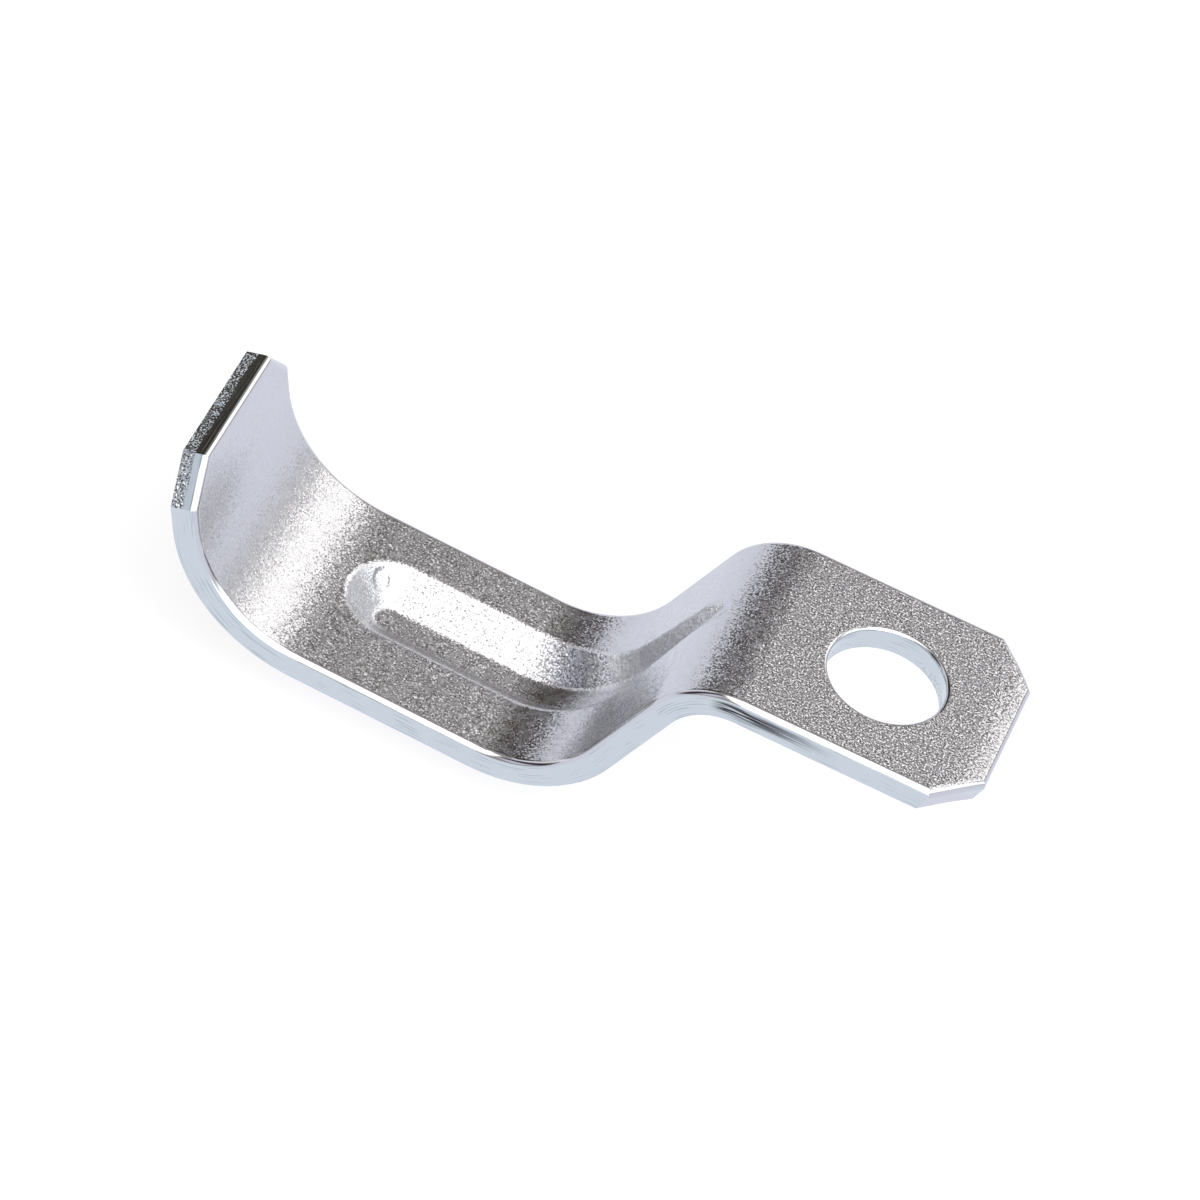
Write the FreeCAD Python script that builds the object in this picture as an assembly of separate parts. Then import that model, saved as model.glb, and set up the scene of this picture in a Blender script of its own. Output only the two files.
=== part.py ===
import FreeCAD, Part
import math
import os

# One-hole conduit strap: one piece of zinc-plated steel strip, blanked to its outline with its screw hole,
# then pressed to shape. Millimetres, +Z up. The hollow that holds the conduit opens upwards.
# The origin is the centre of the screw hole, on the tab's upper face, which lies against the wall or ceiling.
# +X runs along the strip to the tab's free end, and the strip's width lies along Y.

# Strip as blanked
STRIP_WIDTH = 16.0
STRIP_THICKNESS = 1.8
DIE_ROLL = 0.5            # rounding that the blanking die leaves along the hollow face's outline
TAB_CORNER_ALONG = 2.9    # cropped corners of the tab, along the strip and across it
TAB_CORNER_ACROSS = 3.2
LIP_CORNER_ALONG = 2.7    # cropped corners of the lip
LIP_CORNER_ACROSS = 2.6

# Screw hole
HOLE_DIAMETER = 8.0
HOLE_ROLL = 0.25          # rounding of the hole's rim on the hollow face's side
HOLE_TO_END = 8.9         # from the hole's centre to the tab's free end

# Side view, from the tab's free end to the lip: flats by length, bends by inside radius and angle
TAB_END_RADIUS = 5.2      # the tab's free end, pressed down a little when it was cropped
TAB_END_DROOP = 19.0
TAB_FLAT = 14.1
SHOULDER_RADIUS = 4.0
SHOULDER_ANGLE = 67.0
RISER_FLAT = 6.9
HEEL_RADIUS = 7.2
HEEL_ANGLE = 69.0
SADDLE_FLAT = 13.1
CURL_RADIUS = 9.6
CURL_ANGLE = 70.0
LIP_FLAT = 4.6

# Stiffening rib: a flat-bottomed groove in the hollow face, standing out as a bead on the outer face
RIB_DEPTH = 2.0
RIB_FLOOR = 1.6           # width of the groove's flat floor
RIB_CORNER_RADIUS = 0.7   # between the floor and the walls
RIB_WALL_ANGLE = 40.5
RIB_RIM_RADIUS = 0.6      # the groove's rim on the hollow face
RIB_FOOT_RADIUS = 0.5     # the bead's foot, where the strip bent over the die's edge
RIB_OFFSET = 0.8          # the rib lies a little off the strip's centre line
RIB_END_INSET = 3.6       # from the curl's start to the middle of the rib's round end
RIB_HEEL_RISE = 1.4       # the floor's bend in the heel is this much tighter than a concentric one, so it rises
RIB_RUNOUT_ANGLE = 2.5    # how much more steeply than the riser the floor then climbs, until it fades out
RIB_TIP_REACH = 11.3      # from the heel's bend to the rib's tip
RIB_TIP_FLOOR = 0.1       # width of the floor at the tip
RIB_TOOL_TOP = 1.0        # the rib's tools stand this far above the hollow face

ACROSS = FreeCAD.Vector(0.0, 1.0, 0.0)
TOOL_REACH = 3.0 * (TAB_FLAT + SADDLE_FLAT + CURL_RADIUS)   # cutting tools reach well past the strap
SAME = 1e-5               # closer than this is the same place


def direction(heading):
    """Unit vector in the side view, for a heading in degrees counted up from +X."""
    return FreeCAD.Vector(math.cos(math.radians(heading)), 0.0, math.sin(math.radians(heading)))


def follow_side_view():
    """Each leg's start on the hollow face, its heading there, its length or radius, and its turn in degrees."""
    plan = (("tab_end", TAB_END_RADIUS + STRIP_THICKNESS, TAB_END_DROOP),
            ("tab", TAB_FLAT, 0.0),
            ("shoulder", SHOULDER_RADIUS + STRIP_THICKNESS, SHOULDER_ANGLE),
            ("riser", RISER_FLAT, 0.0),
            ("heel", HEEL_RADIUS, -HEEL_ANGLE),
            ("saddle", SADDLE_FLAT, 0.0),
            ("curl", CURL_RADIUS, -CURL_ANGLE),
            ("lip", LIP_FLAT, 0.0))
    droop = (TAB_END_RADIUS + STRIP_THICKNESS) * (1.0 - math.cos(math.radians(TAB_END_DROOP)))
    point = FreeCAD.Vector(HOLE_TO_END, 0.0, -droop)
    heading = 180.0 - TAB_END_DROOP
    legs = {}
    for name, size, turn in plan:
        legs[name] = (point, heading, size, turn)
        if turn:
            centre = point + direction(heading + math.copysign(90.0, turn)) * size
            heading += turn
            point = centre - direction(heading + math.copysign(90.0, turn)) * size
        else:
            point = point + direction(heading) * size
    legs["end"] = (point, heading, 0.0, 0.0)
    return legs


LEGS = follow_side_view()
TAB_END, TAB_HEADING = LEGS["tab_end"][:2]
LIP_END, LIP_HEADING = LEGS["end"][:2]


def bend_centre(name):
    start, heading, radius, turn = LEGS[name]
    return start + direction(heading + math.copysign(90.0, turn)) * radius


def long_edges(offset):
    """The side view's edges from tab to lip, on the hollow face or that far outside it."""
    edges = []
    names = list(LEGS)
    for name, following in zip(names, names[1:]):
        start, heading, size, turn = LEGS[name]
        end, end_heading = LEGS[following][:2]
        a = start + direction(heading + 90.0) * offset
        b = end + direction(end_heading + 90.0) * offset
        if turn:
            side = math.copysign(1.0, turn)
            radius = size - side * offset
            middle = bend_centre(name) - direction(heading + turn / 2.0 + side * 90.0) * radius
            edges.append(Part.Arc(a, middle, b).toShape())
        else:
            edges.append(Part.makeLine(a, b))
    return edges


def across_strip(outline, width):
    """A solid of this width, from the closed outline of its side view."""
    face = Part.Face(Part.Wire(outline))
    face.translate(ACROSS * (-width / 2.0))
    return face.extrude(ACROSS * width)


def rib_flank(offset, floor):
    """One side of the groove's section, or that far outside it, from floor to top: across and up distances."""
    slope = math.radians(RIB_WALL_ANGLE)
    radius = RIB_CORNER_RADIUS + offset
    centre_up = RIB_CORNER_RADIUS - RIB_DEPTH
    corner = [(floor / 2.0 + radius * math.sin(turn), centre_up - radius * math.cos(turn))
              for turn in (0.0, slope / 2.0, slope)]
    foot_across, foot_up = corner[-1]
    return corner + [(foot_across + (RIB_TOOL_TOP - foot_up) / math.tan(slope), RIB_TOOL_TOP)]


def rib_bar(offset):
    """A bar of the groove's section, or that far outside it, on the rib's line: round end, saddle, heel, riser."""
    saddle_start, heading = LEGS["saddle"][:2]
    along, up = direction(heading), direction(heading - 90.0)
    start = saddle_start + ACROSS * RIB_OFFSET
    end = start + along * (SADDLE_FLAT - RIB_END_INSET)

    def flank(place, side, floor):
        points = [place + ACROSS * (side * across) + up * height for across, height in rib_flank(offset, floor)]
        return points, [Part.Arc(*points[:3]).toShape(), Part.makeLine(*points[2:])]

    def outline(floor):
        near, near_edges = flank(start, -1.0, floor)
        far, far_edges = flank(start, 1.0, floor)
        return Part.Wire(Part.__sortEdges__(
            near_edges + far_edges + [Part.makeLine(near[0], far[0]), Part.makeLine(near[-1], far[-1])]))

    section = Part.Face(outline(RIB_FLOOR))
    straight = section.extrude(end - start)

    points, edges = flank(end, 1.0, RIB_FLOOR)
    foot, top = end + up * rib_flank(offset, RIB_FLOOR)[0][1], end + up * RIB_TOOL_TOP
    half_section = Part.Face(Part.Wire(Part.__sortEdges__(
        edges + [Part.makeLine(foot, points[0]), Part.makeLine(top, points[-1]), Part.makeLine(foot, top)])))
    round_end = half_section.revolve(end, up, 360.0)

    pivot = start + up * (HEEL_RADIUS - RIB_HEEL_RISE)
    climb = HEEL_ANGLE + RIB_RUNOUT_ANGLE
    round_heel = section.revolve(pivot, ACROSS * -1.0, climb)
    foot_outline, tip_outline = outline(RIB_FLOOR), outline(RIB_TIP_FLOOR)
    for wire in (foot_outline, tip_outline):
        wire.rotate(pivot, ACROSS * -1.0, climb)
    tip_outline.translate(direction(heading + 180.0 + climb) * RIB_TIP_REACH)
    up_riser = Part.makeLoft([foot_outline, tip_outline], True, True)
    return straight.multiFuse([round_end, round_heel, up_riser])


def lies_on(edge, line):
    """Whether an edge lies on the face of the strip that has this line as its side view."""
    first, last = edge.FirstParameter, edge.LastParameter
    places = [edge.valueAt(first + (last - first) * share) for share in (0.0, 0.25, 0.5, 0.75, 1.0)]
    return all(line.distToShape(Part.Vertex(place.x, 0.0, place.z))[0] < SAME for place in places)


def rib_edges(solid, offset):
    """Edges where the rib leaves the hollow face, or the face that far outside it."""
    line = Part.Wire(long_edges(offset))

    def reaches_side(face):
        return any(abs(vertex.Point.y) > STRIP_WIDTH / 2.0 - SAME for vertex in face.Vertexes)

    found = []
    for edge in solid.Edges:
        reaching = [reaches_side(face) for face in solid.ancestorsOfType(edge, Part.Face)]
        if any(reaching) and not all(reaching) and lies_on(edge, line):
            found.append(edge)
    return found


def pressed_strip():
    """The bent strip with its rib: a bead fused to the outer face, then grooved from the hollow side."""
    hollow_face, middle, outer_face = [long_edges(share * STRIP_THICKNESS) for share in (0.0, 0.5, 1.0)]
    tab_edge = Part.makeLine(outer_face[0].firstVertex().Point, hollow_face[0].firstVertex().Point)
    lip_edge = Part.makeLine(hollow_face[-1].lastVertex().Point, outer_face[-1].lastVertex().Point)
    strip = across_strip([tab_edge] + hollow_face + [lip_edge] + outer_face[::-1], STRIP_WIDTH)
    tab_middle, lip_middle = middle[0].firstVertex().Point, middle[-1].lastVertex().Point
    past_tab = tab_middle + direction(TAB_HEADING) * -TOOL_REACH
    past_lip = lip_middle + direction(LIP_HEADING) * TOOL_REACH
    overhead = [lip_middle, past_lip, FreeCAD.Vector(past_tab.x, 0.0, past_lip.z), past_tab, tab_middle]
    over_strip = across_strip(middle + [Part.makeLine(a, b) for a, b in zip(overhead, overhead[1:])], TOOL_REACH)
    strip = strip.fuse(rib_bar(STRIP_THICKNESS).cut(over_strip)).cut(rib_bar(0.0))
    strip = strip.removeSplitter().Solids[0]
    strip = strip.makeFillet(RIB_FOOT_RADIUS, rib_edges(strip, STRIP_THICKNESS))
    return strip.makeFillet(RIB_RIM_RADIUS, rib_edges(strip, 0.0))


def corner_tools(end, outwards, square_to_face, along, across):
    """Two wedges that crop the corners at one end of the strip."""
    tools = []
    for side in (-1.0, 1.0):
        corner = end + ACROSS * (side * STRIP_WIDTH / 2.0)
        cut = ACROSS * (-side * across) + outwards * along
        a = corner - outwards * along - cut
        b = corner - ACROSS * (side * across) + cut
        face = Part.Face(Part.makePolygon([a, b, corner + cut + ACROSS * (2.0 * side * across), a]))
        face.translate(square_to_face * -STRIP_THICKNESS)
        tools.append(face.extrude(square_to_face * (3.0 * STRIP_THICKNESS)))
    return tools


def outline_edges(solid):
    """Edges that the blanking die rolled over: where its cut faces, as deep as the strip, meet the hollow face."""
    hollow_line, outer_line = [Part.Wire(long_edges(offset)) for offset in (0.0, STRIP_THICKNESS)]

    def is_on(place, line):
        return line.distToShape(Part.Vertex(place.x, 0.0, place.z))[0] < SAME

    found = []
    for face in solid.Faces:
        corners = [vertex.Point for vertex in face.Vertexes]
        reaches = [any(is_on(corner, line) for corner in corners) for line in (hollow_line, outer_line)]
        for edge in face.Edges if all(reaches) else []:
            middle = edge.valueAt((edge.FirstParameter + edge.LastParameter) / 2.0)
            ends = [vertex.Point for vertex in edge.Vertexes]
            if all(is_on(place, hollow_line) for place in ends + [middle]):
                found.append(edge)
    return found


def screw_hole_rim(solid):
    """The hole's circle on the tab's upper face."""
    return [edge for edge in solid.Edges
            if isinstance(edge.Curve, Part.Circle)
            and abs(edge.Curve.Radius - HOLE_DIAMETER / 2.0) < SAME
            and edge.Curve.Center.Length < SAME]


def make_strap():
    strap = pressed_strip()
    crops = corner_tools(TAB_END, direction(TAB_HEADING) * -1.0, direction(TAB_HEADING + 90.0),
                         TAB_CORNER_ALONG, TAB_CORNER_ACROSS)
    crops += corner_tools(LIP_END, direction(LIP_HEADING), direction(LIP_HEADING + 90.0),
                          LIP_CORNER_ALONG, LIP_CORNER_ACROSS)
    hole_foot = FreeCAD.Vector(0.0, 0.0, -2.0 * STRIP_THICKNESS)
    hole = Part.makeCylinder(HOLE_DIAMETER / 2.0, 3.0 * STRIP_THICKNESS, hole_foot)
    strap = strap.cut(crops + [hole]).removeSplitter().Solids[0]
    strap = strap.makeFillet(HOLE_ROLL, screw_hole_rim(strap))
    return strap.makeFillet(DIE_ROLL, outline_edges(strap))


os.makedirs("parts", exist_ok=True)
make_strap().exportStep("parts/strap.step")
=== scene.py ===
import math
import bpy
from mathutils import Matrix, Vector


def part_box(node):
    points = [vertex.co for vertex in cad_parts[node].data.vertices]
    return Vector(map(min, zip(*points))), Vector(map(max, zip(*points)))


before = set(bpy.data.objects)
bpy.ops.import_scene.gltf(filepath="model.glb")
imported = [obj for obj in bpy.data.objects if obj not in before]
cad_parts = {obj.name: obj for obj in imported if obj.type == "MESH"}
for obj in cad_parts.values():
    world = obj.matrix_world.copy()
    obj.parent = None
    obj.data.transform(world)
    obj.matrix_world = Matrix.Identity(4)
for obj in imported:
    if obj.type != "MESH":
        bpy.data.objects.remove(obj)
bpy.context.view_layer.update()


# The strap: a single piece of steel strip, blanked with its screw hole, then pressed to shape in one die.
# It is barrel plated with zinc and blue passivated, so every face has the same thin bright coat. Under it the
# rolled faces keep their pickled grain, and the cut edges keep the smooth and the torn zone that the die left.

MM = 0.001
STRAP = "strap"
STRIP_WIDTH = 16.0 * MM
HOLE_RADIUS = 4.0 * MM
HOLE_RIM_SHARPER = 2.0                 # the punch rolled the hole's rim over only half as far as the outline
TAB_CROP = (2.9 * MM, 3.2 * MM)        # cropped corners, along the strip and across it
LIP_CROP = (2.7 * MM, 2.6 * MM)
TAB_END = Vector((8.9, 0.0, -0.381)) * MM
TAB_HEADING = 161.0                    # degrees from +X towards +Z, looking from the tab's end to the lip
SIDE_VIEW = (                          # legs from the tab's end to the lip: length, or radius and turn in degrees
    (7.0 * MM, 19.0), (14.1 * MM, 0.0), (5.8 * MM, 67.0), (6.9 * MM, 0.0),
    (7.2 * MM, -69.0), (13.1 * MM, 0.0), (9.6 * MM, -70.0), (4.6 * MM, 0.0),
)
LEG_REACH = 4.5 * MM                   # a place this close to a leg's line lies on that leg

ZINC = (0.630, 0.640, 0.665)           # blue passivated zinc
CUT_ZINC = (0.640, 0.700, 0.705)       # a little bluer on the cut edges
DRAGGED_ZINC = (0.440, 0.500, 0.535)   # in the lines that the die dragged along them
CUT_FACE = (0.10 * MM, 0.03 * MM)      # closer than this to the blank's outline is on the cut
PLAIN_RIM = (0.35 * MM, 0.60 * MM)     # the die ironed the grain out this close to a cut edge
ROUGHNESS = (0.22, 0.30)
CUT_ROUGHNESS = 0.13
SPOTS = 0.55 * MM                      # patches of smoother and rougher zinc
SPOT_SHADES = (0.30, 0.70)

GRAIN = 0.13 * MM                      # pickled grain of the rolled faces
GRAIN_DETAIL = 1.5
GRAIN_SLOPES = (                       # millimetres along the strip and how steep: ironed on the riser and the lip
    (0.0, 1.75), (17.0, 1.60), (20.0, 0.75), (31.0, 0.50), (37.0, 0.90), (52.0, 0.95), (57.0, 0.80), (68.2, 0.50),
)
TORN_SLOPE = 1.35
TORN_FROM = (0.90 * MM, 1.10 * MM)     # depth at which the cut turns from smooth to torn
TORN_WANDER = 0.45 * MM                # how far that depth wanders from place to place

STREAK = 0.11 * MM                     # drag lines along the cut edges
STREAK_DETAIL = 2.0
STREAK_STRETCH = 0.03
STREAK_HEIGHT = 0.012 * MM
STREAK_SHADES = (0.50, 0.68)           # shades of the streaks that show as dark lines
STREAK_PATCHES = (0.40, 0.62)          # shades of the unevenness where they show
WAVE = 2.6 * MM                        # slow unevenness left by the press
WAVE_HEIGHT = 0.014 * MM
PIP = (49.9 * MM, 2.7 * MM)            # small round dent in the rib's end, along the strip and across it
PIP_EDGE = (0.40 * MM, 0.70 * MM)
PIP_DEPTH = 0.10 * MM

DARK_PATCH = (0.045, 0.040, 0.045)          # a dark patch painted on the near cut edge, next to the shoulder
DARK_PATCH_RISES = (9.0 * MM, 15.5 * MM)    # along the strip
DARK_PATCH_FALLS = (18.9 * MM, 17.4 * MM)
DARK_PATCH_TOP = (0.32 * MM, 0.52 * MM)     # depth in the cut edge
DARK_PATCH_FOOT = (1.45 * MM, 1.00 * MM)
DARK_PATCH_SHADES = (0.28, 0.50)


def link(tree, output, target):
    tree.links.new(output, target)


def feed(tree, value, target):
    """Set a socket to a number or a tuple, or link it to another socket."""
    if isinstance(value, (float, tuple)):
        target.default_value = value
    else:
        link(tree, value, target)


def maths(tree, operation, *values):
    """Do one step of arithmetic on numbers or sockets."""
    node = tree.nodes.new("ShaderNodeMath")
    node.operation = operation
    for socket, value in zip(node.inputs, values):
        feed(tree, value, socket)
    return node.outputs["Value"]


def product(tree, first, *others):
    """Multiply two or more masks."""
    for other in others:
        first = maths(tree, "MULTIPLY", first, other)
    return first


def vectors(tree, operation, *values):
    """Do one step of vector arithmetic on tuples or sockets."""
    node = tree.nodes.new("ShaderNodeVectorMath")
    node.operation = operation
    for socket, value in zip(node.inputs, values):
        feed(tree, value, socket)
    return node.outputs["Value" if operation == "DOT_PRODUCT" else "Vector"]


def scaled(tree, vector, factor):
    """Lengthen or shorten a vector."""
    node = tree.nodes.new("ShaderNodeVectorMath")
    node.operation = "SCALE"
    feed(tree, vector, node.inputs["Vector"])
    feed(tree, factor, node.inputs["Scale"])
    return node.outputs["Vector"]


def ramp(tree, value, starts, ends, low=0.0, high=1.0):
    """Ease from low, where the value starts, to high, where it ends."""
    node = tree.nodes.new("ShaderNodeMapRange")
    node.interpolation_type = "SMOOTHSTEP"
    given = {"Value": value, "From Min": starts, "From Max": ends, "To Min": low, "To Max": high}
    for name, number in given.items():
        feed(tree, number, node.inputs[name])
    return node.outputs["Result"]


def curve(tree, along, points):
    """Join points, given by millimetres along the strip and the value there, with straight lines."""
    value = points[0][1]
    for (start, low), (end, high) in zip(points, points[1:]):
        node = tree.nodes.new("ShaderNodeMapRange")
        given = {"Value": along, "From Min": start * MM, "From Max": end * MM, "To Max": high - low}
        for name, number in given.items():
            feed(tree, number, node.inputs[name])
        value = maths(tree, "ADD", value, node.outputs["Result"])
    return value


def mixed(tree, share, first, second):
    """Mix two colours."""
    node = tree.nodes.new("ShaderNodeMix")
    node.data_type = "RGBA"
    feed(tree, share, node.inputs["Factor"])
    feed(tree, first, node.inputs["A"])
    feed(tree, second, node.inputs["B"])
    return node.outputs["Result"]


def noise(tree, place, size, detail=1.0):
    """Make a cloudy pattern with clouds of about this size."""
    node = tree.nodes.new("ShaderNodeTexNoise")
    node.inputs["Scale"].default_value = 1.0 / size
    node.inputs["Detail"].default_value = detail
    link(tree, place, node.inputs["Vector"])
    return node


def bump(tree, height, distance, strength=1.0, normal=None):
    """Raise the surface where the height is 1."""
    node = tree.nodes.new("ShaderNodeBump")
    node.inputs["Distance"].default_value = distance
    feed(tree, strength, node.inputs["Strength"])
    link(tree, height, node.inputs["Height"])
    if normal:
        link(tree, normal, node.inputs["Normal"])
    return node.outputs["Normal"]


def length_of(tree, first, second):
    """Find the long side of the right-angled triangle with these two short sides."""
    squares = [maths(tree, "MULTIPLY", side, side) for side in (first, second)]
    return maths(tree, "SQRT", maths(tree, "ADD", *squares))


def parts_of(tree, vector):
    """Split a vector into its three parts."""
    node = tree.nodes.new("ShaderNodeSeparateXYZ")
    link(tree, vector, node.inputs["Vector"])
    return node.outputs["X"], node.outputs["Y"], node.outputs["Z"]


def heading_vector(heading):
    return Vector((math.cos(math.radians(heading)), 0.0, math.sin(math.radians(heading))))


def flat_blank():
    """Node group: a place's coordinates on the flat blank that the strap was bent from.

    Along is counted from the tab's end, Depth from the hollow face, and Inside from the nearest cut edge.
    """
    tree = bpy.data.node_groups.new("flat_blank", "ShaderNodeTree")
    tree.interface.new_socket("Place", in_out="INPUT", socket_type="NodeSocketVector")
    for name in ("Along", "Depth", "Inside"):
        tree.interface.new_socket(name, in_out="OUTPUT", socket_type="NodeSocketFloat")
    place = tree.nodes.new("NodeGroupInput").outputs["Place"]
    start, heading, gone = TAB_END, TAB_HEADING, 0.0
    along = depth = None
    for size, turn in SIDE_VIEW:
        ahead, outwards = heading_vector(heading), heading_vector(heading + 90.0)
        if turn:
            side = math.copysign(1.0, turn)
            centre = start + outwards * side * size
            from_centre = vectors(tree, "SUBTRACT", place, tuple(centre))
            forward = vectors(tree, "DOT_PRODUCT", from_centre, tuple(ahead))
            sideways = vectors(tree, "DOT_PRODUCT", from_centre, tuple(outwards * -side))
            here = maths(tree, "MULTIPLY", maths(tree, "ARCTAN2", forward, sideways), size)
            radius = length_of(tree, forward, sideways)
            under = maths(tree, "MULTIPLY", maths(tree, "SUBTRACT", size, radius), side)
            heading += turn
            start = centre - heading_vector(heading + 90.0) * side * size
            length = size * math.radians(abs(turn))
        else:
            from_start = vectors(tree, "SUBTRACT", place, tuple(start))
            here = vectors(tree, "DOT_PRODUCT", from_start, tuple(ahead))
            under = vectors(tree, "DOT_PRODUCT", from_start, tuple(outwards))
            start = start + ahead * size
            length = size
        here_along = maths(tree, "ADD", here, gone)
        if along is None:
            along, depth = here_along, under
        else:
            near = maths(tree, "LESS_THAN", maths(tree, "ABSOLUTE", under), LEG_REACH)
            on_leg = maths(tree, "MULTIPLY", maths(tree, "GREATER_THAN", here, 0.0), near)
            along = ramp(tree, on_leg, 0.0, 1.0, along, here_along)
            depth = ramp(tree, on_leg, 0.0, 1.0, depth, under)
        gone += length

    x, y, z = parts_of(tree, place)
    from_side = maths(tree, "SUBTRACT", STRIP_WIDTH / 2.0, maths(tree, "ABSOLUTE", y))
    from_hole = maths(tree, "SUBTRACT", length_of(tree, x, y), HOLE_RADIUS)
    inside = maths(tree, "MINIMUM", from_side, maths(tree, "MULTIPLY", from_hole, HOLE_RIM_SHARPER))
    from_lip = maths(tree, "SUBTRACT", gone, along)
    for from_end, (crop_along, crop_across) in ((along, TAB_CROP), (from_lip, LIP_CROP)):
        slant = math.hypot(crop_along, crop_across)
        end_part = maths(tree, "MULTIPLY", from_end, crop_across / slant)
        side_part = maths(tree, "MULTIPLY", from_side, crop_along / slant)
        from_corner = maths(tree, "ADD", end_part, side_part)
        from_crop = maths(tree, "SUBTRACT", from_corner, crop_along * crop_across / slant)
        inside = maths(tree, "MINIMUM", inside, maths(tree, "MINIMUM", from_end, from_crop))
    out = tree.nodes.new("NodeGroupOutput")
    for name, value in (("Along", along), ("Depth", depth), ("Inside", inside)):
        link(tree, value, out.inputs[name])
    return tree


def zinc_plate():
    """Bright zinc over the grain of the rolled faces and the marks of the cut edges."""
    material = bpy.data.materials.new("zinc_plated_steel")
    material.use_nodes = True
    tree = material.node_tree
    shader = tree.nodes["Principled BSDF"]
    shader.inputs["Metallic"].default_value = 1.0
    place = tree.nodes.new("ShaderNodeTexCoord").outputs["Object"]
    blank = tree.nodes.new("ShaderNodeGroup")
    blank.node_tree = flat_blank()
    link(tree, place, blank.inputs["Place"])
    along, depth, inside = blank.outputs["Along"], blank.outputs["Depth"], blank.outputs["Inside"]
    across = parts_of(tree, place)[1]

    stretched = tree.nodes.new("ShaderNodeCombineXYZ")
    link(tree, maths(tree, "MULTIPLY", along, STREAK_STRETCH), stretched.inputs["X"])
    link(tree, maths(tree, "MULTIPLY", across, STREAK_STRETCH), stretched.inputs["Y"])
    link(tree, depth, stretched.inputs["Z"])
    streaks = noise(tree, stretched.outputs["Vector"], STREAK, STREAK_DETAIL).outputs["Fac"]
    unevenness = noise(tree, place, WAVE).outputs["Fac"]
    spots = noise(tree, place, SPOTS).outputs["Fac"]

    cut = ramp(tree, inside, *CUT_FACE)
    rolled = ramp(tree, inside, *PLAIN_RIM)
    wander = maths(tree, "MULTIPLY", maths(tree, "SUBTRACT", streaks, 0.5), TORN_WANDER)
    torn = product(tree, cut, ramp(tree, maths(tree, "ADD", depth, wander), *TORN_FROM))
    # a dark patch painted into the colour of the near cut edge, next to the shoulder
    dark_patch = product(
        tree, cut, maths(tree, "LESS_THAN", across, 0.0), ramp(tree, streaks, *DARK_PATCH_SHADES),
        ramp(tree, along, *DARK_PATCH_RISES), ramp(tree, along, *DARK_PATCH_FALLS),
        ramp(tree, depth, *DARK_PATCH_TOP), ramp(tree, depth, *DARK_PATCH_FOOT))
    lines = product(tree, ramp(tree, streaks, *STREAK_SHADES), ramp(tree, unevenness, *STREAK_PATCHES))

    cut_colour = mixed(tree, lines, (*CUT_ZINC, 1.0), (*DRAGGED_ZINC, 1.0))
    plated = mixed(tree, cut, (*ZINC, 1.0), cut_colour)
    link(tree, mixed(tree, dark_patch, plated, (*DARK_PATCH, 1.0)), shader.inputs["Base Color"])

    rolled_roughness = ramp(tree, spots, *SPOT_SHADES, *ROUGHNESS)
    link(tree, ramp(tree, rolled, 0.0, 1.0, CUT_ROUGHNESS, rolled_roughness), shader.inputs["Roughness"])

    from_pip = length_of(tree, maths(tree, "SUBTRACT", along, PIP[0]), maths(tree, "SUBTRACT", across, PIP[1]))
    wavy = bump(tree, unevenness, WAVE_HEIGHT)
    dished = bump(tree, ramp(tree, from_pip, *PIP_EDGE), PIP_DEPTH, normal=wavy)
    dragged = bump(tree, streaks, STREAK_HEIGHT, cut, dished)
    crystals = vectors(tree, "SUBTRACT", noise(tree, place, GRAIN, GRAIN_DETAIL).outputs["Color"], (0.5, 0.5, 0.5))
    rolled_slope = maths(tree, "MULTIPLY", rolled, curve(tree, along, GRAIN_SLOPES))
    slope = maths(tree, "ADD", rolled_slope, maths(tree, "MULTIPLY", torn, TORN_SLOPE))
    leaning = vectors(tree, "ADD", dragged, scaled(tree, crystals, slope))
    link(tree, vectors(tree, "NORMALIZE", leaning), shader.inputs["Normal"])
    return material


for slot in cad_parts[STRAP].material_slots:
    slot.material = zinc_plate()


# The floor: a plain white sheet under the strap, which takes its soft shadow.
# The camera and the metal see it as a bright white ground.

FLOOR_SIZE = 6.0
FLOOR_GAP = 0.02 * MM
FLOOR_WHITE = (0.92, 0.92, 0.92)
FLOOR_SHARE_LIT = 0.30                  # how much of the white is taken from the lamps, so that shadows show
FLOOR_GLOW = 1.12
FLOOR_MIRRORED = (0.93, 0.94, 1.04)     # the white ground as the metal shows it


def white_ground():
    material = bpy.data.materials.new("white_ground")
    material.use_nodes = True
    tree = material.node_tree
    tree.nodes.remove(tree.nodes["Principled BSDF"])
    lit = tree.nodes.new("ShaderNodeBsdfDiffuse")
    lit.inputs["Color"].default_value = (*FLOOR_WHITE, 1.0)
    seen = tree.nodes.new("ShaderNodeLightPath")
    in_metal = seen.outputs["Is Glossy Ray"]
    glow = tree.nodes.new("ShaderNodeEmission")
    plain = (FLOOR_GLOW, FLOOR_GLOW, FLOOR_GLOW, 1.0)
    link(tree, mixed(tree, in_metal, plain, (*FLOOR_MIRRORED, 1.0)), glow.inputs["Color"])
    direct = maths(tree, "MULTIPLY", seen.outputs["Is Camera Ray"], 1.0 - FLOOR_SHARE_LIT)
    both = tree.nodes.new("ShaderNodeMixShader")
    link(tree, maths(tree, "MAXIMUM", direct, in_metal), both.inputs["Fac"])
    link(tree, lit.outputs["BSDF"], both.inputs[1])
    link(tree, glow.outputs["Emission"], both.inputs[2])
    link(tree, both.outputs["Shader"], tree.nodes["Material Output"].inputs["Surface"])
    return material


bpy.ops.object.select_all(action="DESELECT")
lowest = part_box(STRAP)[0].z
bpy.ops.mesh.primitive_plane_add(size=FLOOR_SIZE, location=(0.0, 0.0, lowest - FLOOR_GAP))
floor = bpy.context.object
floor.name = "floor"
floor.data.materials.append(white_ground())


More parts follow.
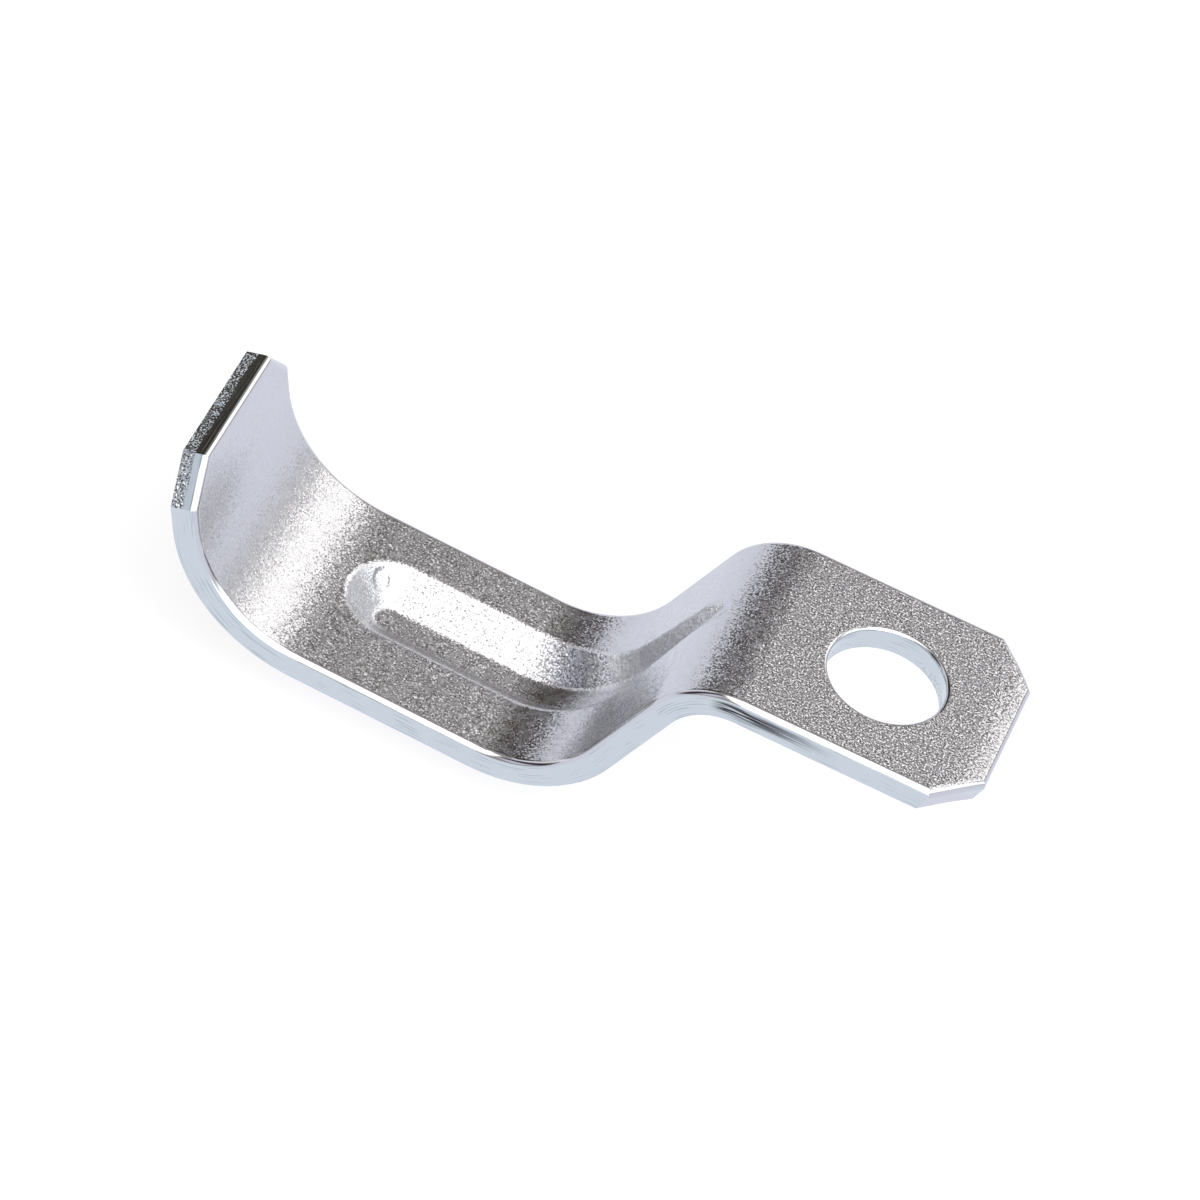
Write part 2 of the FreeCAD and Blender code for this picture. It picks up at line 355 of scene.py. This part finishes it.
# The light: a large soft box overhead and in front, and a room with bright and dark walls round the strap.
# The metal shows all of it, so each is at the azimuth and height where the strap shows it. Azimuth 0 is
# straight behind the strap, and 90 on its right.

AIM = Vector((-0.020, 0.0, -0.009))     # the middle of the strap
WALL = (0.395, 0.368, 0.358)
WINDOWS = (                             # azimuths, heights, how soft their edges are, all in degrees, and colour
    ((-200.0, 200.0), (-90.0, 11.0), 5.0, (0.92, 0.92, 1.00)),
    ((-75.0, -14.0), (0.0, 19.5), 5.0, (0.92, 0.92, 1.00)),
    ((-66.0, -12.0), (22.0, 54.0), 5.0, (0.052, 0.040, 0.032)),
    ((-95.0, -70.0), (14.0, 56.0), 4.0, (0.95, 0.95, 1.02)),
    ((-130.0, -103.0), (13.0, 62.0), 3.0, (0.04, 0.03, 0.05)),
    ((-152.0, -131.0), (22.0, 48.0), 4.0, (0.78, 0.80, 0.92)),
    ((62.0, 126.0), (16.0, 70.0), 5.0, (1.65, 1.65, 1.65)),
    ((13.0, 50.0), (22.0, 58.0), 3.0, (1.90, 1.84, 1.77)),
)
BACKDROP = (1.0, 1.0, 1.0)              # what the camera sees past the floor
SOFT_BOX_AZIMUTH = 155.0
SOFT_BOX_HEIGHT = 50.0
SOFT_BOX_DISTANCE = 0.80
SOFT_BOX_SIZE = (0.92, 1.90)
SOFT_BOX_BRIGHTNESS = 1.60              # as the metal shows it, where 1 is white
SOFT_BOX_COLOUR = (1.0, 0.985, 0.965)


def between(tree, value, limits, soft):
    """1 where the value is between its limits, fading to 0 past them."""
    low, high = limits
    above = ramp(tree, value, low - soft, low + soft)
    return maths(tree, "MULTIPLY", above, ramp(tree, value, high + soft, high - soft))


def room():
    world = bpy.data.worlds.new("room")
    bpy.context.scene.world = world
    world.use_nodes = True
    tree = world.node_tree
    x, y, z = parts_of(tree, tree.nodes.new("ShaderNodeTexCoord").outputs["Generated"])
    azimuth = maths(tree, "DEGREES", maths(tree, "ARCTAN2", x, y))
    height = maths(tree, "DEGREES", maths(tree, "ARCSINE", z))
    shown = (*WALL, 1.0)
    for azimuths, heights, soft, colour in WINDOWS:
        share = product(tree, between(tree, azimuth, azimuths, soft), between(tree, height, heights, soft))
        shown = mixed(tree, share, shown, (*colour, 1.0))
    by_camera = tree.nodes.new("ShaderNodeLightPath").outputs["Is Camera Ray"]
    link(tree, mixed(tree, by_camera, shown, (*BACKDROP, 1.0)), tree.nodes["Background"].inputs["Color"])


def soft_box():
    width, depth = SOFT_BOX_SIZE
    lamp = bpy.data.lights.new("overhead", "AREA")
    lamp.shape = "RECTANGLE"
    lamp.size = width
    lamp.size_y = depth
    lamp.energy = math.pi * width * depth * SOFT_BOX_BRIGHTNESS
    lamp.color = SOFT_BOX_COLOUR
    box = bpy.data.objects.new("overhead", lamp)
    bpy.context.scene.collection.objects.link(box)
    azimuth, height = math.radians(SOFT_BOX_AZIMUTH), math.radians(SOFT_BOX_HEIGHT)
    level = math.cos(height)
    away = Vector((math.sin(azimuth) * level, math.cos(azimuth) * level, math.sin(height)))
    box.location = AIM + away * SOFT_BOX_DISTANCE
    box.rotation_euler = away.to_track_quat("Z", "Y").to_euler()
    box.visible_camera = False


room()
soft_box()


# The camera: a long lens from the front, 45 degrees up, turned so that the strap climbs to the left.

CAMERA_AIM = Vector((-0.01954, 0.00407, -0.00900))
CAMERA_DISTANCE = 0.4485
CAMERA_AZIMUTH = 5.645
CAMERA_HEIGHT = 44.934
CAMERA_ROLL = 21.206
CAMERA_LENS = 203.8
CAMERA_CLIP = 0.01

turn = (Matrix.Rotation(math.radians(CAMERA_AZIMUTH), 4, "Z")
        @ Matrix.Rotation(math.radians(90.0 - CAMERA_HEIGHT), 4, "X")
        @ Matrix.Rotation(math.radians(CAMERA_ROLL), 4, "Z"))
camera = bpy.data.objects.new("camera", bpy.data.cameras.new("camera"))
bpy.context.scene.collection.objects.link(camera)
camera.matrix_world = Matrix.Translation(CAMERA_AIM) @ turn @ Matrix.Translation((0.0, 0.0, CAMERA_DISTANCE))
camera.data.lens = CAMERA_LENS
camera.data.clip_start = CAMERA_CLIP
bpy.context.scene.camera = camera
bpy.context.scene.view_settings.view_transform = "Standard"
